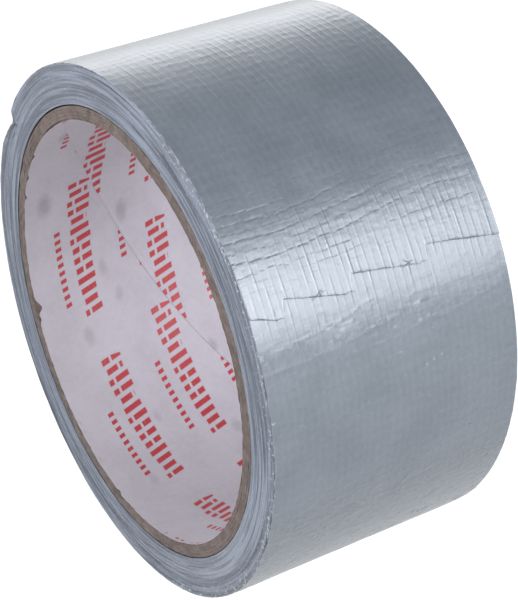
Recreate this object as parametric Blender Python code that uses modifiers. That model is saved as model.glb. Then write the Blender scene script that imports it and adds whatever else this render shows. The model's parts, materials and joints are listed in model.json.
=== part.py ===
"""Roll of cloth-backed tape on a paperboard core, standing on its rim.

Metres, +Z up. The roll's axis lies along Y at the height AXIS_HEIGHT, and the origin is on the floor
below the middle of the roll. Angles are measured about that axis from +X towards +Z.
"""

import math

import bmesh
import bpy
from mathutils import Matrix, Vector

# Driving dimensions
TAPE_WIDTH = 0.048
BORE_RADIUS = 0.0385
LINER_THICKNESS = 0.00015
PLY_THICKNESS = 0.00054
PLY_COUNT = 4
GLUE_GAP = 0.00002
PACK_INNER_RADIUS = 0.04095
OUTER_RADIUS = 0.04845
TAPE_THICKNESS = 0.00021

# The outline of every round piece is a polygon with a flat facet at the bottom
FACETS = 72
FACET_ANGLE = math.radians(360 / FACETS)

# The free end of the tape: it starts at END_ANGLE and is loose as far back as ROOT_ANGLE
END_ANGLE = math.radians(32.5)
SEGMENTS = 7
ROOT_ANGLE = END_ANGLE + SEGMENTS * FACET_ANGLE
BUTT_GAP = 0.00004
LAYERS = {"film": 0.00008, "scrim": 0.00004, "adhesive": 0.00005}

# Each tooth of the torn edge: where it starts and ends across the width, and how far its two corners
# stop short of (+) or run past (-) the line at END_ANGLE
TEETH = [
    (0.0000, 0.0056, 0.0005, -0.0017),
    (0.0056, 0.0182, 0.0011, -0.0014),
    (0.0182, 0.0325, 0.0016, -0.0006),
    (0.0325, 0.0480, 0.0020, -0.0003),
]

# Each ply is a ribbon wound as a helix, so its butt seam climbs round the tube
SEAM_TURN = math.radians(3.29) / 0.001
SEAM_START = [math.radians(a) for a in (120, 205, 290, 15, 100)]
SEAM_WIDTH = 0.0002
SEAM_STEPS = 32

# The crushed notch in the front rim: NOTCH_ANGLE is its steep side, and it runs out over NOTCH_SPAN
NOTCH_ANGLE = math.radians(148.5)
NOTCH_DEPTH = 0.0017
NOTCH_SPAN = 0.0075
NOTCH_LENGTH = 0.013

# Working values
FRONT = -TAPE_WIDTH / 2
OVERCUT = 0.001  # how far a cutter runs past the solid it cuts
TEETH_WASTE = 0.008  # how far the torn-off waste reaches along the tape
MERGE_DISTANCE = 1e-7
SCREW_MERGE = 1e-5
SMOOTH_ANGLE = math.radians(30)
HINGE_MARK = 0.004


def spiral_radius(angle):
    """Outer radius of the outermost turn, one tape thickness smaller after a full turn."""
    return OUTER_RADIUS - TAPE_THICKNESS * (angle - END_ANGLE) / math.tau


BOTTOM_ANGLE = math.radians(270)
AXIS_HEIGHT = spiral_radius(BOTTOM_ANGLE) * math.cos(FACET_ANGLE / 2)


def polar(radius, angle):
    return Vector((radius * math.cos(angle), 0, AXIS_HEIGHT + radius * math.sin(angle)))


def clear_scene():
    for obj in list(bpy.data.objects):
        bpy.data.objects.remove(obj, do_unlink=True)


def make_collection(name):
    collection = bpy.data.collections.new(name)
    bpy.context.scene.collection.children.link(collection)
    return collection


def make_material(name, color, roughness, metallic=0.0):
    material = bpy.data.materials.new(name)
    material.use_nodes = True
    shader = material.node_tree.nodes["Principled BSDF"]
    shader.inputs["Base Color"].default_value = (*color, 1)
    shader.inputs["Roughness"].default_value = roughness
    shader.inputs["Metallic"].default_value = metallic
    return material


def add_object(name, mesh, collection, material=None):
    obj = bpy.data.objects.new(name, mesh)
    collection.objects.link(obj)
    if material:
        mesh.materials.append(material)
    return obj


def extruded(name, outlines, depth, collection, material=None):
    """A solid from flat outlines: a 2D curve in the XZ plane, extruded along Y and made a mesh."""
    curve = bpy.data.curves.new(name, "CURVE")
    curve.dimensions = "2D"
    curve.fill_mode = "BOTH"
    curve.extrude = depth / 2
    for outline in outlines:
        spline = curve.splines.new("POLY")
        spline.points.add(len(outline) - 1)
        spline.use_cyclic_u = True
        for point, place in zip(spline.points, outline):
            point.co = (place.x, place.z, 0, 1)
    guide = bpy.data.objects.new(name + "_outline", curve)
    collection.objects.link(guide)
    bpy.context.view_layer.update()
    graph = bpy.context.evaluated_depsgraph_get()
    mesh = bpy.data.meshes.new_from_object(guide.evaluated_get(graph))
    bpy.data.objects.remove(guide, do_unlink=True)
    shape = bmesh.new()
    shape.from_mesh(mesh)
    bmesh.ops.rotate(shape, verts=shape.verts, matrix=Matrix.Rotation(math.pi / 2, 3, "X"))
    bmesh.ops.remove_doubles(shape, verts=shape.verts, dist=MERGE_DISTANCE)
    bmesh.ops.recalc_face_normals(shape, faces=shape.faces)
    shape.to_mesh(mesh)
    shape.free()
    mesh.name = name
    return add_object(name, mesh, collection, material)


def shade_round(obj):
    obj.data.shade_smooth()
    obj.data.set_sharp_from_angle(angle=SMOOTH_ANGLE)


def cut(obj, cutter):
    modifier = obj.modifiers.new("cut_" + cutter.name, "BOOLEAN")
    modifier.operation = "DIFFERENCE"
    modifier.solver = "EXACT"
    modifier.object = cutter


def hide_cutter(obj):
    obj.hide_render = True
    obj.display_type = "WIRE"


def seam_cutter(name, start, radius, thickness, collection):
    """A thin wall that follows a helix through a ply, made of a strip of quads given a thickness."""
    length = TAPE_WIDTH + 2 * OVERCUT
    wall = bmesh.new()
    bmesh.ops.create_grid(wall, x_segments=SEAM_STEPS, y_segments=1, size=0.5)
    for vert in wall.verts:
        along = vert.co.x * length
        angle = start + SEAM_TURN * (along - FRONT)
        reach = radius + thickness / 2 + vert.co.y * (thickness + GLUE_GAP)
        vert.co = polar(reach, angle) + Vector((0, along, 0))
    mesh = bpy.data.meshes.new(name)
    wall.to_mesh(mesh)
    wall.free()
    cutter = add_object(name, mesh, collection)
    solidify = cutter.modifiers.new("seam_width", "SOLIDIFY")
    solidify.thickness = SEAM_WIDTH
    solidify.offset = 0
    hide_cutter(cutter)
    return cutter


def core_ply(name, radius, thickness, start, parts, cutters, material):
    """A tube turned about Y, split by its helical butt seam."""
    profile = bpy.data.meshes.new(name)
    half = TAPE_WIDTH / 2
    outer = radius + thickness
    corners = [(outer, half, 0), (outer, -half, 0), (radius, -half, 0), (radius, half, 0)]
    profile.from_pydata(corners, [(0, 1), (1, 2), (2, 3), (3, 0)], [])
    ply = add_object(name, profile, parts, material)
    ply.location.z = AXIS_HEIGHT
    ply.rotation_euler.y = -FACET_ANGLE / 2
    screw = ply.modifiers.new("turn", "SCREW")
    screw.axis = "Y"
    screw.steps = screw.render_steps = FACETS
    screw.use_merge_vertices = True
    screw.merge_threshold = SCREW_MERGE
    screw.use_normal_calculate = True
    cut(ply, seam_cutter(name + "_seam", start, radius, thickness, cutters))
    return ply


def build_core(parts, cutters, paper, board):
    core_ply("core_liner", BORE_RADIUS, LINER_THICKNESS, SEAM_START[0], parts, cutters, paper)
    radius = BORE_RADIUS + LINER_THICKNESS + GLUE_GAP
    for number in range(1, PLY_COUNT + 1):
        start = SEAM_START[number]
        core_ply(f"core_ply_{number}", radius, PLY_THICKNESS, start, parts, cutters, board)
        radius += PLY_THICKNESS + GLUE_GAP


def notch_cutter(collection):
    """A three-sided spike along Y, deepest at its steep side, which narrows to a tip inside the roll."""
    spike = bmesh.new()
    reach = NOTCH_DEPTH * 1.5
    bmesh.ops.create_cone(
        spike, cap_ends=True, segments=3, radius1=reach, radius2=0, depth=NOTCH_LENGTH + OVERCUT
    )
    # the cone stands along Z with one corner at +Y: lay it along Y with that corner at +Z
    lay_down = Matrix.Rotation(math.pi, 4, "Y") @ Matrix.Rotation(-math.pi / 2, 4, "X")
    bmesh.ops.transform(spike, verts=spike.verts, matrix=lay_down)
    # then put its steep side at z = 0 and its bottom at x = 0
    bottom = min(vert.co.x for vert in spike.verts)
    steep = min(vert.co.z for vert in spike.verts)
    length = max(vert.co.z for vert in spike.verts) - steep
    for vert in spike.verts:
        vert.co.x -= bottom
        vert.co.z = (vert.co.z - steep) * NOTCH_SPAN / length
    turn = Matrix.Rotation(-NOTCH_ANGLE, 4, "Y")
    place = polar(OUTER_RADIUS - NOTCH_DEPTH, NOTCH_ANGLE)
    place.y = FRONT + (NOTCH_LENGTH - OVERCUT) / 2
    bmesh.ops.transform(spike, verts=spike.verts, matrix=Matrix.Translation(place) @ turn)
    bmesh.ops.recalc_face_normals(spike, faces=spike.faces)
    mesh = bpy.data.meshes.new("rim_notch")
    spike.to_mesh(mesh)
    spike.free()
    cutter = add_object("rim_notch", mesh, collection)
    hide_cutter(cutter)
    return cutter


def build_pack(parts, cutters, material):
    """All the bonded turns: a spiral outline, stepped down by one thickness under the loose end."""
    outline = []
    for step in range(FACETS + 1):
        angle = ROOT_ANGLE + step * FACET_ANGLE
        radius = spiral_radius(angle)
        if angle > END_ANGLE + math.tau + FACET_ANGLE / 2:
            radius = spiral_radius(angle - math.tau) - TAPE_THICKNESS
        outline.append(polar(radius, angle))
    hole = [
        polar(PACK_INNER_RADIUS, FACET_ANGLE * (step + 0.5)) for step in range(FACETS)
    ]
    pack = extruded("tape_winding", [outline, hole], TAPE_WIDTH, parts, material)
    shade_round(pack)
    cut(pack, notch_cutter(cutters))
    return pack


def teeth_cutter(collection):
    """The waste beyond the torn edge: a saw-toothed outline, extruded through the tape."""
    outline = []
    for near, far, first, last in TEETH:
        outline += [Vector((near, 0, first)), Vector((far, 0, last))]
    outline[0].x -= OVERCUT
    outline[-1].x += OVERCUT
    outline += [
        Vector((TAPE_WIDTH + OVERCUT, 0, -TEETH_WASTE)),
        Vector((-OVERCUT, 0, -TEETH_WASTE)),
    ]
    cutter = extruded("torn_edge", [outline], 6 * TAPE_THICKNESS, collection)
    # outline x runs along the roll's axis, outline z runs back along the tape, depth is radial
    outwards = polar(1, END_ANGLE) - polar(0, END_ANGLE)
    back = polar(1, END_ANGLE + math.pi / 2) - polar(0, END_ANGLE)
    place = Matrix((Vector((0, 1, 0)), outwards, back)).transposed().to_4x4()
    place.translation = polar(OUTER_RADIUS - TAPE_THICKNESS / 2, END_ANGLE) + Vector((0, FRONT, 0))
    cutter.data.transform(place)
    shape = bmesh.new()
    shape.from_mesh(cutter.data)
    bmesh.ops.recalc_face_normals(shape, faces=shape.faces)
    shape.to_mesh(cutter.data)
    shape.free()
    hide_cutter(cutter)
    return cutter


def segment_outline(first, facets, depth, thickness):
    """Cross-section of one layer from the angle `first` down over some facets."""
    angles = [first - step * FACET_ANGLE for step in range(facets + 1)]
    trim = BUTT_GAP / OUTER_RADIUS
    angles[0] -= trim
    outer = [polar(spiral_radius(a) - depth, a) for a in angles]
    inner = [polar(spiral_radius(a) - depth - thickness, a) for a in angles]
    return outer + inner[::-1]


def build_tail(parts, cutters, materials):
    """The loose end: seven hinged segments, each with film, scrim and adhesive."""
    waste = teeth_cutter(cutters)
    parent, parent_place = None, Vector()
    for number in range(1, SEGMENTS + 1):
        first = ROOT_ANGLE - (number - 1) * FACET_ANGLE
        hinge_place = polar(spiral_radius(first), first)
        hinge = bpy.data.objects.new(f"tail_hinge_{number}", None)
        hinge.empty_display_size = HINGE_MARK
        parts.objects.link(hinge)
        hinge.parent = parent
        hinge.location = hinge_place - parent_place
        parent, parent_place = hinge, hinge_place
        depth = 0.0
        facets = 2 if number == SEGMENTS else 1
        for layer, thickness in LAYERS.items():
            outline = segment_outline(first, facets, depth, thickness)
            name = f"tail_{layer}_{number}"
            piece = extruded(name, [outline], TAPE_WIDTH, parts, materials[layer])
            if number == SEGMENTS:
                cut(piece, waste)
            piece.data.transform(Matrix.Translation(-hinge_place))
            piece.parent = hinge
            depth += thickness + GLUE_GAP / 2


def main():
    clear_scene()
    parts = make_collection("duct_tape_roll")
    cutters = make_collection("cutters")
    paper = make_material("printed_paper", (0.60, 0.55, 0.57), 0.75)
    board = make_material("core_board", (0.27, 0.22, 0.19), 0.9)
    tape = make_material("silver_tape", (0.34, 0.38, 0.42), 0.42, 0.3)
    layers = {
        "film": make_material("silver_film", (0.40, 0.44, 0.48), 0.38, 0.3),
        "scrim": make_material("cloth_scrim", (0.62, 0.62, 0.60), 0.85),
        "adhesive": make_material("rubber_adhesive", (0.45, 0.46, 0.46), 0.5),
    }
    build_core(parts, cutters, paper, board)
    build_pack(parts, cutters, tape)
    build_tail(parts, cutters, layers)


main()
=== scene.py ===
import json
import math

import bmesh
import bpy
import numpy as np
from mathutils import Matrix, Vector


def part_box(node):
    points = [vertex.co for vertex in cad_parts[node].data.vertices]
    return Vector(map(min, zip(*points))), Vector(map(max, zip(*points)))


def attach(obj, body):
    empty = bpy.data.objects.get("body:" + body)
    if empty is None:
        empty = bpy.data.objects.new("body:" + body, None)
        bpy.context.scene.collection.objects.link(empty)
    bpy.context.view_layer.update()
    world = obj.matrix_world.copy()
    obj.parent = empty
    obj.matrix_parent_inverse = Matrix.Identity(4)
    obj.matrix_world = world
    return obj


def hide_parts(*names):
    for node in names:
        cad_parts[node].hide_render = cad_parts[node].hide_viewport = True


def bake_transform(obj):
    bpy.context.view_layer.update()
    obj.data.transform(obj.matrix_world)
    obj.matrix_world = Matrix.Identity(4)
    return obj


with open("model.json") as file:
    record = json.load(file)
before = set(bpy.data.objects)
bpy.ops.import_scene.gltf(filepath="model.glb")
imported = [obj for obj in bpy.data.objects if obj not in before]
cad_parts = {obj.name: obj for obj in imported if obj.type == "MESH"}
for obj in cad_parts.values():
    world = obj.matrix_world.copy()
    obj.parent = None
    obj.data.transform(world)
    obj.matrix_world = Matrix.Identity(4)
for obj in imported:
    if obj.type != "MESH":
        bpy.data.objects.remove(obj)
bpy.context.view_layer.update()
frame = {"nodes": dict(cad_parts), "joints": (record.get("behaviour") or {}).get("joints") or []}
scene = bpy.context.scene
print("frame loaded:", len(frame["nodes"]), "CAD nodes")

mm = 0.001  # everything below is worked out in millimetres and degrees, then scaled by this

linerLow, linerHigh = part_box("core_liner")
packLow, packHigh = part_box("tape_winding")
axisHeight = (linerLow.z + linerHigh.z) / 2
frontY = packLow.y
tapeWidth = (packHigh.y - packLow.y) / mm
hinges = frame["joints"]


def polarOf(point):
    return (math.degrees(math.atan2(point[2] - axisHeight, point[0])),
            math.hypot(point[0], point[2] - axisHeight) / mm)


def radiiOf(node):
    spots = np.array([vert.co for vert in frame["nodes"][node].data.vertices])
    reach = np.hypot(spots[:, 0], spots[:, 2] - axisHeight) / mm
    return reach.min(), reach.max()


rootAngle, rootRadius = polarOf(hinges[0]["pos_m"])
segmentTurn = rootAngle - polarOf(hinges[1]["pos_m"])[0]
sheetStart = rootAngle + segmentTurn / 2  # the loose end's first piece begins here
boreRadius, linerRadius = radiiOf("core_liner")

roll = {"thickness": 0.21, "coverGap": 0.012}  # one turn of tape, and the gap below the outermost turn


def turnRadius(angle):
    # outer radius of the tape, falling by one thickness a turn; angles past 360 are the turn below
    return rootRadius - roll["thickness"] * (angle - rootAngle) / 360


def wrapOnRoll(angle, depth, radius):
    turn = np.radians(angle)
    return np.stack([radius * np.cos(turn) * mm,
                     frontY + depth * mm + 0 * turn,
                     axisHeight + radius * np.sin(turn) * mm], axis=-1)


def smoothStep(value):
    share = np.clip(value, 0, 1)
    return share * share * (3 - 2 * share)


noiseCells = 97  # the noise repeats after this many cells


def smoothNoise(across, along, seed):
    # between -1 and 1, over cells one unit wide; the seed picks the pattern
    cells = np.random.default_rng(seed).uniform(-1, 1, (noiseCells, noiseCells))
    across, along = np.broadcast_arrays(across, along)
    column, row = np.floor(across).astype(int), np.floor(along).astype(int)
    u, v = smoothStep(across - column), smoothStep(along - row)
    left, right = column % noiseCells, (column + 1) % noiseCells
    low, high = row % noiseCells, (row + 1) % noiseCells
    return ((cells[left, low] * (1 - u) + cells[right, low] * u) * (1 - v)
            + (cells[left, high] * (1 - u) + cells[right, high] * u) * v)


def noiseSum(across, along, layers):
    # each layer gives a strength, a cell size both ways and a seed
    total = 0
    for strength, wide, tall, seed in layers:
        total = total + strength * smoothNoise(across / wide, along / tall, seed)
    return total


def pathNoise(along, seed):
    return smoothNoise(along, 0.5, seed)


def tableAt(value, table):
    return np.interp(value, [row[0] for row in table], [row[1] for row in table])


# The tape's outer surface, as a height over a smooth turn. Strengths are given as (angle, share).
weave = {
    "ribPitch": 1.41, "ribHeight": 0.028, "ribSharpness": 4.6, "ribWander": 0.12, "ribLean": 0.16,
    "halfRib": 0.16, "ribLevel": 0.78,
    "ribPatches": [(0.45, 4.2, 1.41, 11), (0.4, 7, 6, 13), (0.3, 1.5, 1.1, 12)],
    "ribStrength": [(28, 0.9), (42, 1.0), (47, 0.75), (51, 0.4), (56, 0.3), (62, 0.5), (74, 0.8), (120, 0.9),
                    (250, 0.8), (300, 0.25), (330, 0.1), (366, 0.1), (376, 0.3), (385, 0.75), (392, 0.9),
                    (430, 0.6)],
    "weftPitch": 2.15, "weftHeight": 0.024, "weftWander": [(0.35, 9, 5.5, 5), (0.22, 2.5, 1.41, 6)],
    "weftStrength": [(28, 0.2), (55, 0.3), (61, 0.9), (74, 1.1), (112, 1.1), (250, 0.9), (300, 0.6),
                     (326, 0.4), (350, 0.2), (384, 0.25), (430, 0.3)],
    "middle": 0.4,  # the share of a thread's height that lies below the smooth turn
    "swell": 0.018, "streak": 0.005, "rimDroop": 0.045, "rimDroopReach": 0.9,
    "crinkle": 0.017,
    "crinkleStrength": [(28, 0.8), (45, 0.7), (60, 0.5), (70, 0.45), (100, 0.35), (300, 0.9), (320, 1.5),
                        (366, 1.3), (374, 0.3), (381, 0.25), (397, 0.4), (430, 0.5)],
    "fold": 0.022, "foldSlope": 0.115,
    "foldStrength": [(28, 0.2), (60, 0.2), (90, 0.5), (300, 1.2), (320, 3.4), (364, 3.2), (374, 1.3),
                     (382, 0.6), (397, 0.5), (430, 0.4)],
    "coveredFrom": 395.5, "coveredLoss": 0.7, "coveredDrop": 0.03,
}
creases = {
    "depth": [(0, 0.062), (16, 0.054), (30, 0.040), (48, 0.034)], "width": 0.22, "reach": 3.0,
    # the length over which a crease fades: by depth for the lower ones, and short from sharpFrom up
    "recovery": [(0, 1.0), (10, 0.8), (18, 0.5), (48, 0.4)], "sharpFrom": 51, "sharpRecovery": 0.16,
    "sway": [(0, 0), (4.7, -0.05), (9.4, -0.15), (14, -0.05), (18.8, 0.1), (23.4, 0.3), (28, 0.5),
             (33, 0.8), (37.5, 0.95), (44, 0.9), (48, 0.85)],
    # angle at the front edge, how far it leans with the sway, strength
    "lines": [(35.4, 0.8, 0.22), (36.9, 1.0, 0.28), (38.4, 1.3, 0.35), (40.1, 1.7, 0.7), (42.5, 3.0, 0.8),
              (44.4, 3.1, 0.45), (46.6, 3.2, 1.0), (48.2, 3.5, 0.4), (49.8, 3.9, 0.9), (51.9, 3.7, 0.8),
              (54.5, 3.4, 0.9), (57.5, 3.2, 0.6), (60.5, 3.0, 0.5), (64.0, 2.4, 0.4), (67.0, 2.4, 0.25)],
}
wrinkles = [
    # points of (depth, angle), height, half width; the angle is on the turn below the loose end
    ([(0, 21.0), (5, 21.3), (12, 21.8), (20, 22.9), (26, 24.5)], 0.019, 0.36),
    ([(1, 25.0), (8, 25.9), (14, 26.4), (20, 28.4), (27, 28.6)], 0.014, 0.34),
    ([(12, 19.3), (20, 19.7), (24, 19.5), (28, 20.6), (32, 21.2), (36, 21.0), (41, 22), (46, 23)],
     0.021, 0.36),
    ([(17, 16.5), (22, 16.1), (28, 16.7), (34, 17.4), (41, 18.4), (48, 19.4)], 0.016, 0.45),
    ([(0, 17.6), (9, 17.4), (18, 18.2), (24, 17.9)], 0.014, 0.40),
    ([(4, 14.6), (20, 15.2), (34, 16.0), (46, 16.4)], 0.013, 0.5),
    ([(8, 12.0), (22, 12.6), (38, 12.2)], 0.010, 0.6),
    ([(20, 2.0), (30, 3.2), (38, 1.6)], 0.010, 0.5),
]
degreesPerMm = 360 / (2 * math.pi * rootRadius)


def crest(turns):
    return 0.5 + 0.5 * np.cos(2 * np.pi * turns)


def ribWave(angle, depth):
    # a rib at each warp thread and a slight one halfway between
    phase = depth / weave["ribPitch"] + weave["ribWander"] * smoothNoise(angle / 7, depth / 5, 3)
    return crest(phase) ** weave["ribSharpness"] + weave["halfRib"] * crest(2 * phase) ** 3


def threadHeight(angle, arc, depth, wave):
    # ribs of the warp round the roll and threads of the weft across it, both stronger in patches
    ribPatch = weave["ribLevel"] + noiseSum(angle, depth, weave["ribPatches"])
    leaning = angle - weave["ribLean"] * (depth - 20)
    ribs = weave["ribHeight"] * tableAt(leaning, weave["ribStrength"]) * ribPatch * (wave - weave["middle"])
    phase = arc / weave["weftPitch"] + noiseSum(arc, depth, weave["weftWander"])
    weft = crest(phase) ** 2 - weave["middle"]
    weftPatch = 0.65 + 0.6 * smoothNoise(arc / 3, depth / weave["ribPitch"], 7)
    return ribs + weave["weftHeight"] * tableAt(angle, weave["weftStrength"]) * weft * weftPatch


def pressCreases(height, angle, depth, wave):
    # each crease drops sharply on its lower side and fades upward, and is shallower on a rib
    sway = tableAt(depth, creases["sway"])
    for start, lean, strength in creases["lines"]:
        line = start + lean * sway + noiseSum(depth, start, [(0.28, 3.3, 1, 21), (0.14, 0.9, 1, 22)])
        offset = (angle - line) / degreesPerMm
        near = np.abs(offset) < creases["reach"]
        if not near.any():
            continue
        gap = offset[near]
        deep = strength * tableAt(depth[near], creases["depth"])
        deep = deep * (0.75 + 0.5 * smoothNoise(depth[near] / 2.1, start, 23))
        onRib = 1.05 - 0.35 * np.clip(wave[near], 0, 1)
        recovery = creases["sharpRecovery"]
        if start < creases["sharpFrom"]:
            recovery = tableAt(depth[near], creases["recovery"])
        drop = smoothStep(gap / creases["width"] + 0.5)
        height[near] -= deep * onRib * drop * np.exp(-np.clip(gap, 0, None) / recovery)


def raiseWrinkles(height, angle, depth):
    for points, ridge, halfWidth in wrinkles:
        line = 360 + tableAt(depth, points) + 0.3 * smoothNoise(depth / 2.6, ridge * 1000, 31)
        offset = (angle - line) / degreesPerMm
        near = np.abs(offset) < 4 * halfWidth
        if not near.any():
            continue
        fadeIn = np.clip((depth[near] - points[0][0]) / 4 + 0.4, 0, 1)
        fadeOut = np.clip((points[-1][0] - depth[near]) / 4 + 0.4, 0, 1)
        height[near] += ridge * fadeIn * fadeOut * np.exp(-(offset[near] / halfWidth) ** 2)


def crinkleHeight(angle, arc, depth):
    # fine crumpling, and thin folds that cross the tape at a slant
    crumple = smoothNoise(arc / 0.8, depth / 1.9, 43)
    crumple = crumple + 0.6 * smoothNoise(arc / 0.45 + 0.2 * depth, depth / 0.8, 44)
    along = arc - weave["foldSlope"] * depth + 0.5 * smoothNoise(arc / 3, depth / 2.5, 46)
    fold = (1 - np.abs(smoothNoise(along / 1.3, depth / 6, 45))) ** 9
    fold = fold + 0.6 * (1 - np.abs(smoothNoise(along / 0.8, depth / 3.5, 47))) ** 7
    fold = fold * (0.6 + 0.5 * smoothNoise(arc / 5, depth / 5, 48))
    return (weave["crinkle"] * tableAt(angle, weave["crinkleStrength"]) * crumple
            + weave["fold"] * tableAt(angle, weave["foldStrength"]) * fold)


def relief(angle, depth):
    arc = angle / degreesPerMm
    wave = ribWave(angle, depth)
    height = threadHeight(angle, arc, depth, wave)
    pressCreases(height, angle, depth, wave)
    raiseWrinkles(height, angle, depth)
    height += crinkleHeight(angle, arc, depth)
    height += weave["streak"] * smoothNoise(arc / 1.3, depth / 13, 41)
    height += weave["swell"] * smoothNoise(angle / 9, depth / 11, 42)
    for fromEdge in (depth, tapeWidth - depth):
        height -= weave["rimDroop"] * np.exp(-fromEdge / weave["rimDroopReach"])
    covered = np.clip((angle - weave["coveredFrom"]) / 2, 0, 1)  # pressed flat below the loose end
    return height * (1 - weave["coveredLoss"] * covered) - weave["coveredDrop"] * covered


nick = {
    # the crushed nick in the front rim, as (angle, depth of the dent)
    "outline": [(143, 0), (146.5, 0.08), (147.9, 0.35), (148.3, 0.9), (148.7, 1.75), (149.3, 1.75),
                (151.3, 1.15), (153.7, 0.85), (156.0, 0.45), (159, 0)],
    "floor": 42.6, "reach": 13.0,
    # angle, radius, size and depth of the voids between the crushed turns
    "voids": [(147.7, 45.6, 0.32, 0.8), (146.5, 44.3, 0.24, 0.7), (148.2, 44.6, 0.26, 0.7),
              (148.3, 42.8, 0.24, 0.5), (150.3, 44.3, 0.22, 0.6), (152.7, 43.7, 0.2, 0.5),
              (151.6, 45.3, 0.2, 0.5), (49.0, 42.8, 0.16, 0.5)],
}


def nickDepth(angle, depth):
    return tableAt(angle, nick["outline"]) * smoothStep(1 - depth / nick["reach"])


def setPoints(mesh, spots):
    mesh.vertices.foreach_set("co", np.asarray(spots, np.float32).ravel())
    mesh.update()


def pointsOf(mesh):
    spots = np.empty(len(mesh.vertices) * 3, np.float32)
    mesh.vertices.foreach_get("co", spots)
    return spots.reshape(-1, 3).astype(float)


def addLay(mesh, values):
    # where each vertex lies on the unrolled piece, in millimetres, for patterns that follow it
    layer = mesh.attributes.new("lay", "FLOAT_VECTOR", "POINT")
    layer.data.foreach_set("vector", np.asarray(values, np.float32).ravel())


def newObject(name, mesh, materials):
    piece = bpy.data.objects.new(name, mesh)
    scene.collection.objects.link(piece)
    for material in materials:
        mesh.materials.append(material)
    return piece


def meshFrom(bm, name):
    mesh = bpy.data.meshes.new(name)
    bm.to_mesh(mesh)
    bm.free()
    return mesh


def layStrip(rows, columns, fineUnder=False):
    # a flat closed strip: fine quads on top, walls round it and long or fine quads below
    bm = bmesh.new()
    bmesh.ops.create_grid(bm, x_segments=rows, y_segments=columns, size=0.5)
    if fineUnder:
        lower = bmesh.ops.create_grid(bm, x_segments=rows, y_segments=columns, size=0.5)["verts"]
        bmesh.ops.translate(bm, verts=lower, vec=(0, 0, -1))
        bmesh.ops.bridge_loops(bm, edges=[edge for edge in bm.edges if edge.is_boundary])
    else:
        sides = [edge for edge in bm.edges if edge.is_boundary
                 and abs(edge.verts[0].co.y - edge.verts[1].co.y) < 1e-6]
        made = bmesh.ops.extrude_edge_only(bm, edges=sides)["geom"]
        lower = [item for item in made if isinstance(item, bmesh.types.BMVert)]
        bmesh.ops.translate(bm, verts=lower, vec=(0, 0, -1))
        lowerEdges = [item for item in made if isinstance(item, bmesh.types.BMEdge)
                      and item.verts[0].co.z < -0.5 and item.verts[1].co.z < -0.5]
        bmesh.ops.bridge_loops(bm, edges=lowerEdges)
        bmesh.ops.holes_fill(bm, edges=[edge for edge in bm.edges if edge.is_boundary], sides=0)
    bmesh.ops.recalc_face_normals(bm, faces=bm.faces)
    for face in bm.faces:
        heights = [vert.co.z for vert in face.verts]
        face.material_index = 0 if min(heights) > -0.5 else (2 if max(heights) < -0.5 else 1)
        face.smooth = face.material_index != 1
        if face.material_index == 1 and max(vert.co.x for vert in face.verts) < -0.499:
            face.material_index = 3  # the lower end
    for edge in bm.edges:
        edge.smooth = len({face.material_index for face in edge.link_faces}) == 1
    return bm


def topNormals(mesh, spotAt, angle, depth):
    # shading normals from the surface itself, so that pieces side by side meet without a line
    step = 0.02
    along = spotAt(angle + step, depth) - spotAt(angle - step, depth)
    across = spotAt(angle, depth + step) - spotAt(angle, depth - step)
    normal = np.cross(across, along)
    normal /= np.linalg.norm(normal, axis=1, keepdims=True)
    corners = np.empty(len(mesh.loops), np.int32)
    mesh.loops.foreach_get("vertex_index", corners)
    kinds = np.empty(len(mesh.polygons), np.int32)
    mesh.polygons.foreach_get("material_index", kinds)
    sizes = np.empty(len(mesh.polygons), np.int32)
    mesh.polygons.foreach_get("loop_total", sizes)
    top = np.repeat(kinds, sizes) == 0
    given = np.where(top[:, None], normal[corners], 0.0)
    mesh.normals_split_custom_set(given.tolist())


def tapeStrip(name, angles, columns, endAt=None, squeezeFrom=None):
    # a length of tape laid on the roll from angles[-1] down to angles[0]
    bm = layStrip(len(angles) - 1, columns, endAt is not None)
    bmesh.ops.reverse_faces(bm, faces=bm.faces[:])  # the wrap below mirrors it
    mesh = meshFrom(bm, name)
    flat = pointsOf(mesh)
    angle = np.interp(flat[:, 0] + 0.5, np.linspace(0, 1, len(angles)), angles)
    front = 0.05 * pathNoise(angle / 3.1, 51) + 0.02 * pathNoise(angle / 0.8, 52)
    back = tapeWidth + 0.05 * pathNoise(angle / 2.7, 53)
    depth = front + (flat[:, 1] + 0.5) * (back - front)
    if endAt is not None:
        share = np.clip((squeezeFrom - angle) / (squeezeFrom - angles[0]), 0, 1)
        angle = angle + share * (endAt(depth) - angles[0])
    lower = flat[:, 2] < -0.5

    def lifted(atAngle, atDepth):
        if endAt is None:
            return 0
        past = np.clip(atAngle - endAt(atDepth), 0, None)
        return (tornEnd["lift"] * np.clip(1 - past / tornEnd["liftReach"], 0, 1) ** 2
                + tornEnd["lip"] * tornLip(atDepth) * np.exp(-past / tornEnd["lipReach"]))

    def spotAt(atAngle, atDepth):
        radius = turnRadius(atAngle) + relief(atAngle, atDepth) - nickDepth(atAngle, atDepth)
        return wrapOnRoll(atAngle, atDepth, radius + lifted(atAngle, atDepth))

    spots = spotAt(angle, depth)
    underRadius = turnRadius(angle) - roll["thickness"] - nickDepth(angle, depth) + lifted(angle, depth)
    spots[lower] = wrapOnRoll(angle, depth, underRadius)[lower]
    setPoints(mesh, spots)
    addLay(mesh, np.stack([angle / degreesPerMm, depth, np.where(lower, -1.0, 0.0)], axis=-1))
    topNormals(mesh, spotAt, angle, depth)
    return mesh


def linear(red, green, blue):
    def one(value):
        value /= 255
        return value / 12.92 if value < 0.04045 else ((value + 0.055) / 1.055) ** 2.4
    return one(red), one(green), one(blue), 1.0


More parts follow.
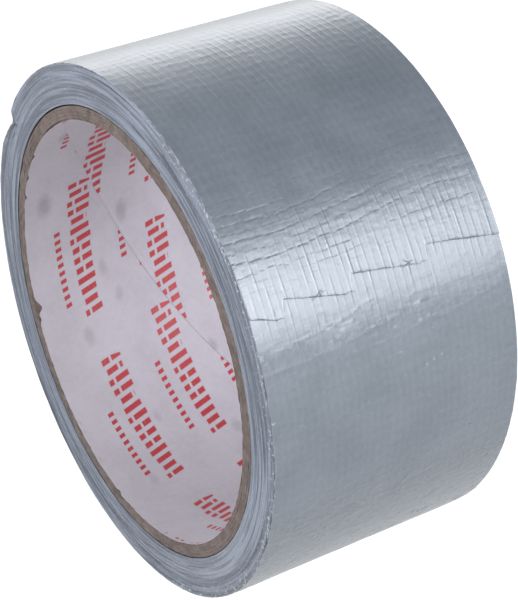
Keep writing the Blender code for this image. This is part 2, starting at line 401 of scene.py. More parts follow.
class NodeDesk:
    # places nodes in one tree and joins them
    def __init__(self, tree):
        self.tree = tree

    def put(self, kind, **settings):
        node = self.tree.nodes.new(kind)
        for name, value in settings.items():
            setattr(node, name, value)
        return node

    def join(self, value, socket):
        if isinstance(value, bpy.types.NodeSocket):
            self.tree.links.new(value, socket)
        else:
            socket.default_value = value

    def calc(self, operation, *values, clamp=False):
        node = self.put("ShaderNodeMath", operation=operation, use_clamp=clamp)
        for value, socket in zip(values, node.inputs):
            self.join(value, socket)
        return node.outputs[0]

    def noise(self, vector, scale, detail=2.0, roughness=0.5, distortion=0.0):
        node = self.put("ShaderNodeTexNoise")
        self.join(vector, node.inputs["Vector"])
        settings = {"Scale": scale, "Detail": detail, "Roughness": roughness, "Distortion": distortion}
        for name, value in settings.items():
            self.join(value, node.inputs[name])
        return node.outputs["Fac"]

    def spread(self, value, low, high, toLow=0.0, toHigh=1.0, smooth=True):
        node = self.put("ShaderNodeMapRange", interpolation_type="SMOOTHSTEP" if smooth else "LINEAR")
        for spot, given in enumerate((value, low, high, toLow, toHigh)):
            self.join(given, node.inputs[spot])
        return node.outputs[0]

    def mixColor(self, share, first, second, blend="MIX"):
        node = self.put("ShaderNodeMix", data_type="RGBA", blend_type=blend)
        self.join(share, node.inputs["Factor"])
        self.join(first, node.inputs[6])
        self.join(second, node.inputs[7])
        return node.outputs[2]

    def vector(self, x, y, z):
        node = self.put("ShaderNodeCombineXYZ")
        for value, socket in zip((x, y, z), node.inputs):
            self.join(value, socket)
        return node.outputs[0]

    def split(self, vector):
        node = self.put("ShaderNodeSeparateXYZ")
        self.join(vector, node.inputs[0])
        return node.outputs

    def group(self, tree, **values):
        node = self.put("ShaderNodeGroup", node_tree=tree)
        for name, value in values.items():
            self.join(value, node.inputs[name])
        return node.outputs

    def vectorMath(self, operation, *values):
        node = self.put("ShaderNodeVectorMath", operation=operation)
        for value, socket in zip(values, node.inputs):
            self.join(value, socket)
        return node.outputs["Value"] if operation in ("LENGTH", "DOT_PRODUCT") else node.outputs["Vector"]

    def objectSpace(self):
        return self.put("ShaderNodeTexCoord").outputs["Object"]

    def laySpace(self):
        return self.put("ShaderNodeAttribute", attribute_name="lay").outputs["Vector"]

    def bump(self, height, strength, distance):
        node = self.put("ShaderNodeBump")
        self.join(height, node.inputs["Height"])
        node.inputs["Strength"].default_value = strength
        node.inputs["Distance"].default_value = distance
        return node.outputs[0]


def newGroup(name, inputs, outputs):
    tree = bpy.data.node_groups.new(name, "ShaderNodeTree")
    kinds = {"value": "NodeSocketFloat", "vector": "NodeSocketVector", "color": "NodeSocketColor"}
    for label, kind, start in inputs:
        socket = tree.interface.new_socket(label, in_out="INPUT", socket_type=kinds[kind])
        if start is not None:
            socket.default_value = start
    for label, kind in outputs:
        tree.interface.new_socket(label, in_out="OUTPUT", socket_type=kinds[kind])
    desk = NodeDesk(tree)
    return tree, desk, desk.put("NodeGroupInput").outputs, desk.put("NodeGroupOutput").inputs


def newMaterial(name, roughness, metallic=0.0, **fixed):
    material = bpy.data.materials.new(name)
    material.use_nodes = True
    desk = NodeDesk(material.node_tree)
    shader = material.node_tree.nodes["Principled BSDF"]
    shader.inputs["Roughness"].default_value = roughness
    shader.inputs["Metallic"].default_value = metallic
    for label, value in fixed.items():
        shader.inputs[label.replace("_", " ")].default_value = value
    return material, desk, shader.inputs


def buildPatchGroup():
    # soft blotches of one finish against another
    tree, desk, given, result = newGroup(
        "softPatches",
        [("Place", "vector", None), ("Scale", "value", 1.0), ("Low", "value", 0.35), ("High", "value", 0.65)],
        [("Mask", "value")])
    field = desk.noise(given["Place"], given["Scale"], 3.0, 0.55)
    desk.join(desk.spread(field, given["Low"], given["High"]), result["Mask"])
    return tree


def buildThreadGroup():
    # cloth threads that print through, on unrolled millimetres
    tree, desk, given, result = newGroup(
        "threadPrint",
        [("Lay", "vector", None), ("Warp", "value", 1.4), ("Weft", "value", 2.0), ("Wander", "value", 0.15)],
        [("Height", "value"), ("Crossing", "value")])
    arc, depth, _ = desk.split(given["Lay"])
    offMiddle = desk.calc("SUBTRACT", desk.noise(given["Lay"], 0.35, 2.0), 0.5)
    sway = desk.calc("MULTIPLY", offMiddle, given["Wander"])
    waves = []
    for place, pitch in ((depth, given["Warp"]), (arc, given["Weft"])):
        turns = desk.calc("ADD", desk.calc("DIVIDE", place, pitch), sway)
        wave = desk.calc("COSINE", desk.calc("MULTIPLY", turns, 2 * math.pi))
        waves.append(desk.calc("MULTIPLY_ADD", wave, 0.5, 0.5))
    warp, weft = waves
    desk.join(desk.calc("MULTIPLY_ADD", warp, 0.6, desk.calc("MULTIPLY", weft, 0.4)), result["Height"])
    desk.join(desk.calc("MULTIPLY", warp, weft), result["Crossing"])
    return tree


def buildFibreGroup():
    # felted paper fibres
    tree, desk, given, result = newGroup(
        "paperFibres",
        [("Place", "vector", None), ("Scale", "value", 900.0)],
        [("Tone", "value"), ("Height", "value")])
    coarse = desk.noise(given["Place"], given["Scale"], 4.0, 0.65, 0.4)
    fine = desk.noise(given["Place"], desk.calc("MULTIPLY", given["Scale"], 4.0), 2.0, 0.6)
    desk.join(desk.spread(coarse, 0.3, 0.7), result["Tone"])
    desk.join(desk.calc("MULTIPLY_ADD", fine, 0.4, coarse), result["Height"])
    return tree


softPatches, threadPrint, paperFibres = buildPatchGroup(), buildThreadGroup(), buildFibreGroup()

finishes = {
    "film": {"tone": linear(97, 103, 110), "deepTone": linear(82, 88, 95), "roughness": 0.31,
             "metallic": 0.14, "fineWarp": 0.47, "fineWeft": 0.72},
    "tapeRim": {"tone": linear(150, 156, 164), "deepTone": linear(92, 98, 106), "roughness": 0.55},
    # the torn end and its loose threads: partly the torn cloth's own darker cut, darkened further as painted
    # shade for the gap under the lifted end
    "tornEdgeAndShade": {"tone": linear(92, 98, 106), "deepTone": linear(40, 44, 50), "roughness": 0.8},
    "glue": {"tone": linear(138, 141, 143), "thread": linear(182, 184, 183), "roughness": 0.38},
    "cutTurns": {"tone": linear(143, 150, 165), "deepTone": linear(78, 85, 97), "roughness": 0.5,
                 "metallic": 0.15, "fleck": linear(214, 220, 228), "fleckRadii": (0.0455, 0.0482),
                 "fleckRight": 0.03},
    "board": {"tone": linear(122, 111, 107), "deepTone": linear(90, 80, 76), "roughness": 0.9},
    "paper": {"tone": linear(172, 168, 176), "deepTone": linear(162, 157, 165), "roughness": 0.62,
              "ink": linear(160, 52, 58), "smudge": linear(118, 115, 121)},
}


def buildFilm():
    look = finishes["film"]
    material, desk, shader = newMaterial("silverFilm", look["roughness"], look["metallic"], IOR=1.6)
    lay = desk.laySpace()
    broad = desk.group(softPatches, Place=lay, Scale=0.09, Low=0.3, High=0.7)["Mask"]
    small = desk.group(softPatches, Place=lay, Scale=1.3, Low=0.25, High=0.75)["Mask"]
    cloth = desk.group(threadPrint, Lay=lay, Warp=weave["ribPitch"], Weft=weave["weftPitch"], Wander=1.3)
    share = desk.calc("MULTIPLY_ADD", small, 0.3, desk.calc("MULTIPLY", cloth["Height"], 0.24))
    share = desk.calc("MULTIPLY_ADD", broad, 0.4, share)
    desk.join(desk.mixColor(share, look["deepTone"], look["tone"]), shader["Base Color"])
    desk.join(desk.calc("MULTIPLY_ADD", share, 0.08, look["roughness"] - 0.04), shader["Roughness"])
    threads = desk.group(threadPrint, Lay=lay, Warp=look["fineWarp"], Weft=look["fineWeft"], Wander=0.6)
    grain = desk.noise(lay, 5.0, 2.0, 0.6)
    height = desk.calc("MULTIPLY_ADD", grain, 0.7, desk.calc("MULTIPLY", threads["Height"], 0.3))
    desk.join(desk.bump(height, 0.5, 0.00003), shader["Normal"])
    return material


def buildRim(name):
    look = finishes[name]
    material, desk, shader = newMaterial(name, look["roughness"])
    place = desk.objectSpace()
    patch = desk.group(softPatches, Place=place, Scale=700.0, Low=0.35, High=0.62)["Mask"]
    desk.join(desk.mixColor(patch, look["deepTone"], look["tone"]), shader["Base Color"])
    desk.join(desk.bump(desk.noise(place, 2500.0), 0.4, 0.00005), shader["Normal"])
    return material


def buildGlue():
    look = finishes["glue"]
    material, desk, shader = newMaterial("gluedCloth", look["roughness"], Coat_Roughness=0.25)
    lay = desk.laySpace()
    threads = desk.group(threadPrint, Lay=lay, Warp=weave["ribPitch"], Weft=weave["weftPitch"], Wander=0.35)
    patch = desk.group(softPatches, Place=lay, Scale=0.3, Low=0.3, High=0.7)["Mask"]
    share = desk.calc("MULTIPLY", threads["Height"], desk.calc("MULTIPLY_ADD", patch, 0.4, 0.6))
    desk.join(desk.mixColor(share, look["tone"], look["thread"]), shader["Base Color"])
    desk.join(desk.spread(threads["Crossing"], 0.1, 0.9, 0.3, 0.55), shader["Roughness"])
    desk.join(0.35, shader["Coat Weight"])
    height = desk.calc("MULTIPLY_ADD", desk.noise(lay, 2.6, 3.0), 0.5, threads["Height"])
    desk.join(desk.bump(height, 0.6, 0.00006), shader["Normal"])
    return material


def buildCutTurns():
    # the cut edges of the wound turns: one line a turn, and bands of turns that lie a little prouder
    look = finishes["cutTurns"]
    material, desk, shader = newMaterial("cutTurns", look["roughness"], look["metallic"])
    place = desk.objectSpace()
    x, y, z = desk.split(place)
    z = desk.calc("SUBTRACT", z, axisHeight)
    calc = desk.calc
    reach = calc("SQRT", calc("ADD", calc("MULTIPLY", x, x), calc("MULTIPLY", z, z)))
    turn = calc("DIVIDE", calc("ARCTAN2", z, x), 2 * math.pi)
    turnsIn = calc("DIVIDE", calc("SUBTRACT", rootRadius * mm, reach), roll["thickness"] * mm)
    gap = desk.spread(calc("PINGPONG", calc("SUBTRACT", turnsIn, turn), 0.5), 0.0, 0.32)
    bands = []
    for across, along in ((3100.0, 70.0), (1500.0, 45.0), (560.0, 20.0)):
        spot = desk.vector(*(calc("MULTIPLY", *pair) for pair in ((reach, across), (x, along), (z, along))))
        bands.append(desk.spread(desk.noise(spot, 1.0, 2.0, 0.55), 0.32, 0.68))
    fine, medium, wide = bands
    tone = calc("MULTIPLY_ADD", medium, 0.38, calc("MULTIPLY", wide, 0.26))
    tone = calc("MULTIPLY_ADD", fine, 0.36, tone)
    share = calc("MULTIPLY", desk.spread(tone, 0.12, 0.85), calc("MULTIPLY_ADD", gap, 0.35, 0.65))
    color = desk.mixColor(share, look["deepTone"], look["tone"])
    fleck = desk.spread(desk.noise(place, 1700.0, 2.0, 0.5), 0.58, 0.68)
    rough = calc("MULTIPLY", desk.spread(reach, *look["fleckRadii"]), desk.spread(x, 0.0, look["fleckRight"]))
    fleckShare = calc("MULTIPLY", fleck, calc("MULTIPLY_ADD", rough, 0.6, 0.1))
    desk.join(desk.mixColor(fleckShare, color, look["fleck"]), shader["Base Color"])
    desk.join(desk.spread(fine, 0.0, 1.0, 0.42, 0.62), shader["Roughness"])
    height = calc("MULTIPLY_ADD", gap, 0.5, fine)
    height = calc("MULTIPLY_ADD", desk.noise(place, 2600.0, 2.0), 0.3, height)
    desk.join(desk.bump(height, 0.5, 0.00006), shader["Normal"])
    return material


def buildBoard():
    look = finishes["board"]
    material, desk, shader = newMaterial("coreBoard", look["roughness"], Specular_IOR_Level=0.2)
    place = desk.objectSpace()
    fibres = desk.group(paperFibres, Place=place, Scale=650.0)
    patch = desk.group(softPatches, Place=place, Scale=120.0, Low=0.3, High=0.7)["Mask"]
    share = desk.calc("MULTIPLY_ADD", fibres["Tone"], 0.7, desk.calc("MULTIPLY", patch, 0.3))
    desk.join(desk.mixColor(share, look["deepTone"], look["tone"]), shader["Base Color"])
    desk.join(desk.bump(fibres["Height"], 0.8, 0.00015), shader["Normal"])
    return material


linerLook = {
    "steps": 520, "columns": 84, "seamStart": 119.8, "seamSlope": 3.29, "overlap": 1.6, "overlapRise": 0.08,
    # angle, depth and half width of each fray at the front edge
    "frays": [(149.0, 0.5, 1.1), (158.5, 0.45, 0.9), (165.8, 0.5, 0.7), (201.5, 1.2, 1.5),
              (205.0, 0.4, 1.0), (118.0, 0.3, 0.6), (262.0, 0.25, 0.8)],
    "curl": 0.25, "curlAngle": 129, "curlSpread": 7,
}
smudges = [
    # angle, depth, half length round the bore, half width, strength
    (142, 5.5, 2.2, 1.3, 0.4), (171, 4.2, 2.9, 1.6, 0.5), (214, 9, 2.0, 1.2, 0.3),
    (180, 20.5, 2.6, 1.3, 0.45), (196, 15.2, 1.8, 1.0, 0.3), (205, 17.5, 1.6, 0.9, 0.3),
    (228, 33.0, 1.6, 1.0, 0.4), (158, 15.0, 1.8, 1.0, 0.25), (243, 15.5, 1.5, 0.9, 0.25),
    (255, 29.0, 2.0, 1.2, 0.35), (262, 7.5, 1.6, 1.0, 0.25), (285, 21.0, 1.6, 1.0, 0.25),
    (20, 12, 2.2, 1.3, 0.35), (60, 30, 2.4, 1.3, 0.35), (330, 25, 2.0, 1.2, 0.3), (95, 22, 1.8, 1.2, 0.3),
]
printed = {
    "cell": 37.4, "rowPitch": 13.5, "rowShift": -6.5, "firstRow": 11.7, "start": 88.0, "climb": 0.0115,
    "bars": 14, "barPitch": 2.1, "barWidth": 0.56, "slant": 0.28, "tall": 2.5, "slit": 0.26,
    "slitSpread": 1.3, "ticks": 10, "tickStart": 9.4, "tickPitch": 1.62, "halfTick": 0.62, "tickRow": 4.85,
    "softness": 0.12,
}


def markMask(desk, arc, depth):
    # a generic repeating mark: a block of slanted bars with slits, and a row of small ticks beside it
    calc = desk.calc
    toStart = calc("SUBTRACT", arc, printed["start"])
    across = calc("SUBTRACT", depth, calc("MULTIPLY", toStart, printed["climb"]))
    fromRow = calc("SUBTRACT", across, printed["firstRow"] - printed["rowPitch"] / 2)
    rows = calc("DIVIDE", fromRow, printed["rowPitch"])
    rowNumber = calc("FLOOR", rows)
    v = calc("MULTIPLY", calc("SUBTRACT", calc("SUBTRACT", rows, rowNumber), 0.5), printed["rowPitch"])
    along = calc("SUBTRACT", toStart, calc("MULTIPLY", rowNumber, printed["rowShift"]))
    cells = calc("DIVIDE", along, printed["cell"])
    u = calc("MULTIPLY", calc("SUBTRACT", cells, calc("FLOOR", cells)), printed["cell"])
    slanted = calc("ADD", u, calc("MULTIPLY", v, printed["slant"]))
    bar = calc("DIVIDE", slanted, printed["barPitch"])
    barNumber = calc("FLOOR", bar)
    inBar = calc("SUBTRACT", bar, barNumber)
    pick = desk.put("ShaderNodeTexWhiteNoise", noise_dimensions="1D")
    desk.join(barNumber, pick.inputs["W"])
    chance = pick.outputs["Value"]

    def below(value, limit):
        # 1 where the value is under the limit, with a soft printed edge
        return desk.spread(calc("SUBTRACT", limit, value), -printed["softness"], printed["softness"])

    def within(value, high):
        return calc("MULTIPLY", calc("LESS_THAN", value, float(high)), calc("GREATER_THAN", value, 0.0))

    tall = calc("MULTIPLY_ADD", chance, 0.7, calc("MULTIPLY_ADD", barNumber, -0.035, printed["tall"] - 0.7))
    middle = calc("ABSOLUTE", calc("SUBTRACT", inBar, printed["barWidth"] / 2))
    middle = calc("MULTIPLY", middle, printed["barPitch"])
    inside = below(middle, printed["barWidth"] * printed["barPitch"] / 2)
    inside = calc("MULTIPLY", inside, within(bar, printed["bars"]))
    inside = calc("MULTIPLY", inside, below(calc("ABSOLUTE", v), tall))
    fromSlit = calc("ADD", v, calc("MULTIPLY_ADD", chance, 2 * printed["slitSpread"], -printed["slitSpread"]))
    slit = below(calc("ABSOLUTE", fromSlit), printed["slit"])
    slit = calc("MULTIPLY", slit, calc("LESS_THAN", calc("FRACT", calc("MULTIPLY", chance, 7.0)), 0.6))
    block = calc("MULTIPLY", inside, calc("SUBTRACT", 1.0, slit))
    tick = calc("DIVIDE", calc("SUBTRACT", slanted, printed["tickStart"]), printed["tickPitch"])
    ticks = calc("MULTIPLY", calc("LESS_THAN", calc("FRACT", tick), 0.5), within(tick, printed["ticks"]))
    fromTicks = calc("ABSOLUTE", calc("ADD", v, printed["tickRow"]))
    ticks = calc("MULTIPLY", ticks, calc("LESS_THAN", fromTicks, printed["halfTick"]))
    return calc("MAXIMUM", block, ticks)


def smudgeMask(desk, lay):
    wobble = desk.calc("MULTIPLY", desk.noise(lay, 0.7, 2.0), 0.7)
    mask = 0.0
    for angle, depth, halfLength, halfWidth, strength in smudges:
        turns = math.ceil((linerLook["seamStart"] + linerLook["seamSlope"] * depth - angle) / 360)
        arc = math.radians(angle + 360 * turns - 90) * boreRadius
        away = desk.vectorMath("SUBTRACT", lay, (arc, depth, 0))
        away = desk.vectorMath("MULTIPLY", away, (1 / halfLength, 1 / halfWidth, 0))
        reach = desk.calc("ADD", desk.vectorMath("LENGTH", away), wobble)
        mask = desk.calc("MAXIMUM", desk.spread(reach, 0.6, 1.7, strength, 0.0), mask)
    return mask


def buildPaper():
    # off-white printed paper with grey smudges, its ink worn in places
    look = finishes["paper"]
    material, desk, shader = newMaterial("linerPaper", look["roughness"], Specular_IOR_Level=0.35)
    lay = desk.laySpace()
    arc, depth, _ = desk.split(lay)
    mark = markMask(desk, arc, depth)
    worn = desk.spread(desk.noise(lay, 2.2, 3.0, 0.6), 0.24, 0.42, 0.55, 1.0)
    ink = desk.calc("MULTIPLY", desk.calc("MULTIPLY", mark, worn), desk.spread(depth, 0.4, 0.9))
    patch = desk.group(softPatches, Place=lay, Scale=0.12, Low=0.3, High=0.7)["Mask"]
    fibres = desk.group(paperFibres, Place=desk.objectSpace(), Scale=900.0)
    share = desk.calc("MULTIPLY_ADD", patch, 0.6, desk.calc("MULTIPLY", fibres["Tone"], 0.4))
    color = desk.mixColor(share, look["deepTone"], look["tone"])
    color = desk.mixColor(smudgeMask(desk, lay), color, look["smudge"])
    desk.join(desk.mixColor(ink, color, look["ink"]), shader["Base Color"])
    desk.join(desk.calc("MULTIPLY_ADD", ink, -0.12, look["roughness"]), shader["Roughness"])
    desk.join(desk.bump(fibres["Height"], 0.25, 0.00005), shader["Normal"])
    return material


silverFilm, tapeRim, tornEdgeAndShade, gluedCloth = buildFilm(), buildRim("tapeRim"), buildRim("tornEdgeAndShade"), buildGlue()
cutTurns, coreBoard, linerPaper = buildCutTurns(), buildBoard(), buildPaper()
print("materials ready")

# the wound turns below the outer one; marks give (angle, steps from there on), the last to a whole turn
woundLook = {
    "rings": 68, "marks": [(sheetStart, 118), (138, 62), (160, 460)],
    "wander": 0.05, "ragged": 0.035, "groove": 0.07, "proud": 0.10,
}


def turnEdgeDepth(ring, angle, seed):
    # how far in from the flat face each turn's edge lies; ring counts half turns from the outside
    along = angle - sheetStart + 180 * ring
    reach = ring / woundLook["rings"]
    outerRight = np.clip(1 - ring / 14, 0, 1) * np.clip(np.cos(np.radians(angle - 10)) + 0.4, 0, 1)
    edge = woundLook["wander"] * pathNoise(along / 23, seed)
    edge = edge + woundLook["ragged"] * (1 + 1.8 * outerRight) * pathNoise(along / 1.9, seed + 1)
    edge = edge + woundLook["proud"] * smoothNoise(reach * 9 + 0.5 * angle / 360, angle / 70, seed + 2)
    groove = woundLook["groove"] * (0.7 + 0.5 * pathNoise(along / 11, seed + 3))
    return edge + np.where(ring % 2 == 1, groove, 0)


def buildWoundTurns():
    rings = woundLook["rings"]
    marks = []
    ends = [start for start, _ in woundLook["marks"][1:]] + [sheetStart + 360]
    for (start, steps), end in zip(woundLook["marks"], ends):
        marks += list(np.linspace(start, end, steps, endpoint=False))
    marks.append(sheetStart + 360)
    bm = bmesh.new()
    ringTag = bm.verts.layers.int.new("ring")
    for side in (0, 1):
        made = bmesh.ops.create_grid(bm, x_segments=len(marks) - 1, y_segments=rings - 1, size=0.5)["verts"]
        flat = np.array([vert.co for vert in made])
        angle = np.interp(flat[:, 0] + 0.5, np.linspace(0, 1, len(marks)), marks)
        ring = np.rint((flat[:, 1] + 0.5) * (rings - 1)).astype(int)
        radius = turnRadius(angle) - roll["thickness"] - roll["coverGap"] - ring * roll["thickness"] / 2
        edge = turnEdgeDepth(ring, angle, 61 + 10 * side)
        if side == 0:
            crush = np.clip((radius - nick["floor"]) / (rootRadius - nick["floor"]), 0, 1) ** 1.4
            radius = radius - tableAt(angle, nick["outline"]) * crush
            edge = edge + 0.5 * tableAt(angle, nick["outline"]) * crush ** 2
            for atAngle, atRadius, size, deep in nick["voids"]:
                away = np.hypot((angle - atAngle) / degreesPerMm, radius - atRadius) / size
                edge = edge + deep * np.exp(-away ** 2)
        spots = wrapOnRoll(angle, edge if side == 0 else tapeWidth - edge, radius)
        for vert, spot, number in zip(made, spots, ring):
            vert.co = spot
            vert[ringTag] = int(number)
    bmesh.ops.remove_doubles(bm, verts=[vert for vert in bm.verts if vert.is_boundary], dist=1e-6)
    for face in bm.faces:
        face.smooth = True
    rims = {True: [], False: []}
    for edge in bm.edges:
        if edge.is_boundary:
            rims[edge.verts[0][ringTag] < rings / 2].append(edge)
    for edges in rims.values():
        for face in bmesh.ops.bridge_loops(bm, edges=edges)["faces"]:
            face.material_index = 1
            face.smooth = True
    for edge in bm.edges:
        edge.smooth = len({face.material_index for face in edge.link_faces}) == 1
    bmesh.ops.recalc_face_normals(bm, faces=bm.faces)
    mesh = meshFrom(bm, "woundTurns")
    spots = pointsOf(mesh)
    angle = np.degrees(np.arctan2(spots[:, 2] - axisHeight, spots[:, 0])) % 360
    addLay(mesh, np.stack([angle / degreesPerMm, (spots[:, 1] - frontY) / mm, 0 * angle], axis=-1))
    piece = newObject("woundTurns", mesh, [cutTurns, silverFilm])
    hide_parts("tape_winding")
    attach(piece, "roll")


buildWoundTurns()
print("wound turns made")

# the outermost turn, one strip all the way round and on below the loose end; arcs give (from, to, step)
outerLook = {"columns": 180, "arcs": [(70, 125, 0.5), (125, 300, 1.12), (300, 396, 0.48), (396, 430, 1.1)]}


def buildOuterTurn():
    marks = [sheetStart]
    for start, end, step in outerLook["arcs"]:
        count = round((end - start) / step)
        marks += [sheetStart - 70 + start + (end - start) * (n + 1) / count for n in range(count)]
    mesh = tapeStrip("outerTurn", np.array(marks), outerLook["columns"])
    piece = newObject("outerTurn", mesh, [silverFilm, tapeRim, gluedCloth, tapeRim])
    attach(piece, "roll")


buildOuterTurn()
print("outer turn made")

# the loose end, in one strip for each hinge
tornEnd = {
    "lift": 0.05, "liftReach": 2.0, "lip": 0.09, "lipReach": 0.2, "step": 0.25, "jump": 0.45, "hold": 1.9,
    # each tooth: from (depth, angle) to (depth, angle); the jumps between them run along the tape
    "teeth": [((-0.5, 32.5), (4.6, 30.5)), ((6.4, 33.9), (17.4, 30.9)), ((19.1, 34.3), (32.1, 31.8)),
              ((33.9, 35.0), (48.5, 32.2))],
}


def tornLine(depth):
    teeth, jump = tornEnd["teeth"], tornEnd["jump"]
    line = tableAt(depth, [point for tooth in teeth for point in tooth])
    for (_, (_, low)), ((start, high), _) in zip(teeth[:-1], teeth[1:]):
        jumping = (depth > start - jump) & (depth < start)
        line = np.where(jumping, low + (high - low) * (depth - start + jump) / jump, line)
        held = (depth <= start - jump) & (depth > start - tornEnd["hold"])
        line = np.where(held, np.minimum(line, low + 0.25), line)
    return line + 0.10 * pathNoise(depth / 0.7, 71) + 0.06 * pathNoise(depth / 0.25, 72)


def tornLip(depth):
    # how sharply the torn edge turns up, least where the tear runs along the tape
    share = 0.62 + 0.5 * pathNoise(depth / 1.7, 73)
    for start, _ in (tooth[0] for tooth in tornEnd["teeth"][1:]):
        share = np.where((depth > start - 0.6) & (depth < start + 0.2), 0.1, share)
    return share


def buildLooseEnd():
    last = len(hinges)
    for number, hinge in enumerate(hinges, 1):
        name = f"looseEnd{number}"
        high = sheetStart - (number - 1) * segmentTurn
        if number < last:
            low = high - segmentTurn
            rows = round((high - low) / tornEnd["step"])
            mesh = tapeStrip(name, low + (high - low) * np.linspace(0, 1, rows + 1), outerLook["columns"])
        else:
            # finer rows, closer together toward the torn edge
            low = rootAngle - last * segmentTurn
            rows = round((high - low) / tornEnd["step"] * 2)
            marks = low + (high - low) * np.linspace(0, 1, rows + 1) ** 1.5
            mesh = tapeStrip(name, marks, outerLook["columns"], tornLine, high - 0.6)
        # each piece's lower end face takes the dark torn-edge colour; on the last piece that is the torn
        # edge, painted shade for the gap under it
        piece = newObject(name, mesh, [silverFilm, tapeRim, gluedCloth, tornEdgeAndShade])
        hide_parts(f"tail_film_{number}", f"tail_scrim_{number}", f"tail_adhesive_{number}")
        start, end = (tuple(wrapOnRoll(angle, tapeWidth / 2, turnRadius(angle)))
                      for angle in (high, high - segmentTurn))
        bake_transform(piece)


buildLooseEnd()
print("loose end made")

whiskers = {
    "halfWidth": 0.035,
    # depth, angle and height over the tape at each point
    "threads": [[(11.3, 31.9, 0.06), (12.3, 32.6, 0.22), (13.4, 33.4, 0.30)],
                [(12.9, 32.0, 0.05), (12.7, 32.8, 0.25), (13.7, 33.0, 0.35)],
                [(29.0, 33.6, 0.05), (29.5, 33.0, 0.22), (30.3, 32.3, 0.30)],
                [(28.6, 32.2, 0.05), (29.6, 32.7, 0.18), (30.6, 33.0, 0.28)],
                [(4.2, 30.6, 0.04), (5.0, 30.9, 0.15), (5.6, 30.6, 0.22)]],
}


def buildWhiskers():
    # loose threads of the cloth that stand out of the torn edge, in the dark torn-edge colour, which is
    # painted shade
    for number, points in enumerate(whiskers["threads"], 1):
        curve = bpy.data.curves.new(f"looseThread{number}", "CURVE")
        curve.dimensions = "3D"
        curve.bevel_depth = whiskers["halfWidth"] * mm
        curve.bevel_resolution = 1
        curve.use_fill_caps = True
        curve.resolution_u = 6
        spline = curve.splines.new("NURBS")
        spline.points.add(len(points) - 1)
        spline.order_u, spline.use_endpoint_u = 3, True
        for point, (depth, angle, height) in zip(spline.points, points):
            point.co = (*wrapOnRoll(angle, depth, turnRadius(angle) + height), 1)
        # painted shade: the threads take the dark torn-edge colour as they stand in shadow
        curve.materials.append(tornEdgeAndShade)
        piece = bpy.data.objects.new(f"looseThread{number}", curve)
        scene.collection.objects.link(piece)
        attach(piece, hinges[-1]["child"])


buildWhiskers()
print("loose threads made")

boardLook = {"steps": 480, "across": 4, "inset": 0.06, "fuzz": 0.07, "slump": 0.06}


def buildBoardPlies():
    for number in range(1, 5):
        node = f"core_ply_{number}"
        inner, outer = radiiOf(node)
        bm = bmesh.new()
        bmesh.ops.create_grid(bm, x_segments=boardLook["across"], y_segments=1, size=0.5)
        bmesh.ops.delete(bm, geom=bm.faces[:], context="FACES_ONLY")
        inside = [edge for edge in bm.edges if abs(edge.verts[0].co.x - edge.verts[1].co.x) < 1e-6
                  and abs(edge.verts[0].co.x) < 0.499]
        bmesh.ops.delete(bm, geom=inside, context="EDGES")
        for vert in bm.verts:
            reach, width = inner + (vert.co.x + 0.5) * (outer - inner), (vert.co.y + 0.5) * tapeWidth
            vert.co = Vector((reach * mm, frontY + width * mm, 0))
        bmesh.ops.spin(bm, geom=bm.verts[:] + bm.edges[:], cent=(0, 0, 0), axis=(0, -1, 0), angle=2 * math.pi,
                       steps=boardLook["steps"], use_merge=True, use_duplicate=False)
        bmesh.ops.recalc_face_normals(bm, faces=bm.faces)
        mesh = meshFrom(bm, f"boardPly{number}")
        spots = pointsOf(mesh)
        reach = np.hypot(spots[:, 0], spots[:, 2]) / mm
        angle = np.degrees(np.arctan2(spots[:, 2], spots[:, 0])) % 360
        share = (reach - inner) / (outer - inner)
        fuzz = smoothNoise(angle / 1.3, share * 2 + number * 3, 81)
        fuzz = fuzz + 0.8 * smoothNoise(angle / 4.5, share + number * 5, 82)
        slump = (2 * np.abs(share - 0.5)) ** 3
        fromEdge = boardLook["inset"] + boardLook["slump"] * slump + boardLook["fuzz"] * fuzz
        depth = np.where(spots[:, 1] < 0, fromEdge, tapeWidth - fromEdge)
        setPoints(mesh, wrapOnRoll(angle, depth, reach))
        mesh.polygons.foreach_set("use_smooth", [True] * len(mesh.polygons))
        mesh.set_sharp_from_angle(angle=math.radians(50))
        piece = newObject(f"boardPly{number}", mesh, [coreBoard])
        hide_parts(node)
        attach(piece, "roll")


buildBoardPlies()
print("board plies made")

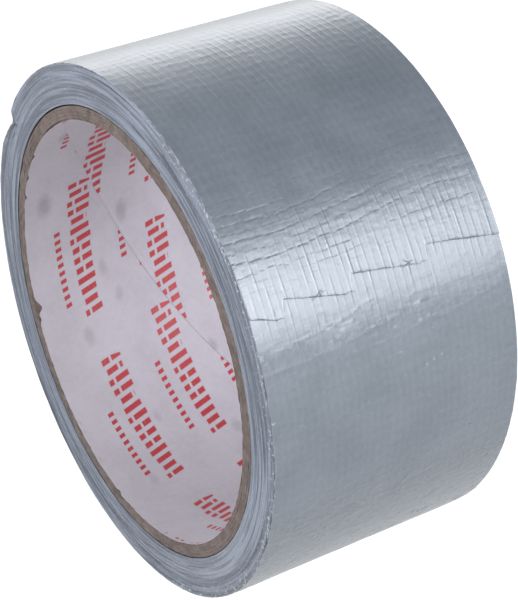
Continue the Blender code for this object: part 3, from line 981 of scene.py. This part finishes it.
def buildLiner():
    bm = layStrip(linerLook["steps"], linerLook["columns"], True)
    mesh = meshFrom(bm, "linerPaper")
    flat = pointsOf(mesh)
    depth = (flat[:, 1] + 0.5) * tapeWidth
    unrolled = (flat[:, 0] + 0.5) * (360 + linerLook["overlap"])
    angle = linerLook["seamStart"] + linerLook["seamSlope"] * depth + unrolled
    folded = angle % 360
    fray = 0.08 + 0.09 * pathNoise(folded / 1.2, 91) + 0.08 * pathNoise(folded / 5.0, 92)
    for atAngle, deep, halfWidth in linerLook["frays"]:
        fray = fray + deep * np.exp(-((folded - atAngle) / halfWidth) ** 2)
    closeness = np.clip(1 - depth / 5, 0, 1)
    backCloseness = np.clip(1 - (tapeWidth - depth) / 5, 0, 1)
    depth = depth + fray * closeness - (0.06 + 0.05 * pathNoise(folded / 1.4, 93)) * backCloseness
    over = np.clip((unrolled - 360 + 1.2) / 0.8, 0, 1)
    ripple = 0.02 * smoothNoise(folded / 8, depth / 9, 94)
    ripple += 0.012 * smoothNoise((folded - linerLook["seamSlope"] * depth) / 6, depth / 40, 95)
    # near its front edge the paper curls off the board in one place
    curl = linerLook["curl"] * np.exp(-((folded - linerLook["curlAngle"]) / linerLook["curlSpread"]) ** 2)
    radius = boreRadius - linerLook["overlapRise"] * over + ripple - curl * closeness ** 2 + 0.02
    lower = flat[:, 2] < -0.5
    radius = np.where(lower, radius + (linerRadius - boreRadius) - 0.03, radius)
    setPoints(mesh, wrapOnRoll(angle, depth, radius))
    arc = np.radians(angle - 90) * boreRadius
    addLay(mesh, np.stack([arc, depth, 0 * arc], axis=-1))
    piece = newObject("linerSheet", mesh, [linerPaper, coreBoard, coreBoard, coreBoard])
    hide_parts("core_liner")
    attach(piece, "roll")


buildLiner()
print("liner made")

# a pale surround, dark overhead and dimmer in front, over a glowing floor
studio = {
    "floorSize": 6.0, "floorGlow": 1.0, "floorTone": (0.07, 0.09), "skyTint": (0.95, 0.97, 1.0),
    "pale": 1.15, "dark": 0.0, "darkCentre": (-0.01, 0.44, 0.898), "darkEdges": (0.65, 0.94),
    "frontShare": 0.45,
    "camera": {"direction": (0.7156, -0.4434, 0.5397), "distance": 0.3526, "lens": 117.96,
               "right": 0.00302, "up": -0.00088},
}


def buildStudio():
    world = bpy.data.worlds.new("studioWorld")
    scene.world = world
    world.use_nodes = True
    desk = NodeDesk(world.node_tree)
    back = world.node_tree.nodes["Background"]
    direction = desk.put("ShaderNodeTexCoord").outputs["Generated"]
    toDark = desk.vectorMath("DOT_PRODUCT", direction, studio["darkCentre"])
    strength = desk.spread(toDark, *studio["darkEdges"], studio["pale"], studio["dark"])
    toFront = desk.vectorMath("DOT_PRODUCT", direction, (0, -1, 0))
    dimming = desk.spread(toFront, 0.0, 0.7, 1.0, studio["frontShare"])
    back.inputs["Color"].default_value = (*studio["skyTint"], 1)
    desk.join(desk.calc("MULTIPLY", strength, dimming), back.inputs["Strength"])

    material, desk, shader = newMaterial("floorPaper", 0.8)
    tone = desk.group(softPatches, Place=desk.objectSpace(), Scale=3.0, Low=0.2, High=0.8)["Mask"]
    low, high = studio["floorTone"]
    desk.join(desk.mixColor(tone, (low, low, low, 1), (high, high, high, 1)), shader["Base Color"])
    desk.join((1, 1, 1, 1), shader["Emission Color"])
    shader["Emission Strength"].default_value = studio["floorGlow"]
    bm = bmesh.new()
    bmesh.ops.create_grid(bm, x_segments=8, y_segments=8, size=studio["floorSize"] / 2)
    mesh = meshFrom(bm, "floor")
    floor = bpy.data.objects.new("floor", mesh)
    scene.collection.objects.link(floor)
    mesh.materials.append(material)
    floor.location.z = -0.00005


lamps = [
    # name, direction from the roll, distance, width, height, power, colour
    ("sideSoftbox", (0.80, 0.46, 0.52), 1.1, 0.5, 0.60, 8.6, (0.93, 0.955, 1.0)),
    ("keyStrip", (0.83, 0.10, 0.545), 1.1, 0.2, 0.5, 7.8, (0.93, 0.955, 1.0)),
    ("backSoftbox", (-0.82, 0.46, 0.20), 1.2, 1.1, 0.45, 3.8, (1.0, 1.0, 1.0)),
    ("frontFill", (0.2, -0.62, 0.76), 0.36, 0.24, 0.24, 1.0, (1.0, 1.0, 1.0)),
]


def buildLamps():
    centre = Vector((0, 0, axisHeight))
    for name, direction, distance, wide, high, power, color in lamps:
        light = bpy.data.lights.new(name, "AREA")
        light.shape, light.size, light.size_y = "RECTANGLE", wide, high
        light.energy, light.color = power, color
        lamp = bpy.data.objects.new(name, light)
        scene.collection.objects.link(lamp)
        away = Vector(direction).normalized()
        lamp.location = centre + away * distance
        lamp.rotation_euler = away.to_track_quat("Z", "Y").to_euler()


def buildCamera():
    look = studio["camera"]
    camera = bpy.data.objects.new("camera", bpy.data.cameras.new("camera"))
    scene.collection.objects.link(camera)
    scene.camera = camera
    centre, away = Vector((0, 0, axisHeight)), Vector(look["direction"]).normalized()
    right = Vector((0, 0, 1)).cross(away).normalized()
    up = away.cross(right)
    camera.location = centre + away * look["distance"]
    target = centre + right * look["right"] + up * look["up"]
    camera.rotation_euler = (camera.location - target).to_track_quat("Z", "Y").to_euler()
    camera.data.lens = look["lens"]
    camera.data.sensor_width = 36
    camera.data.clip_start, camera.data.clip_end = 0.01, 20


buildStudio()
buildLamps()
buildCamera()
scene.view_settings.view_transform = "Standard"
print("studio ready")
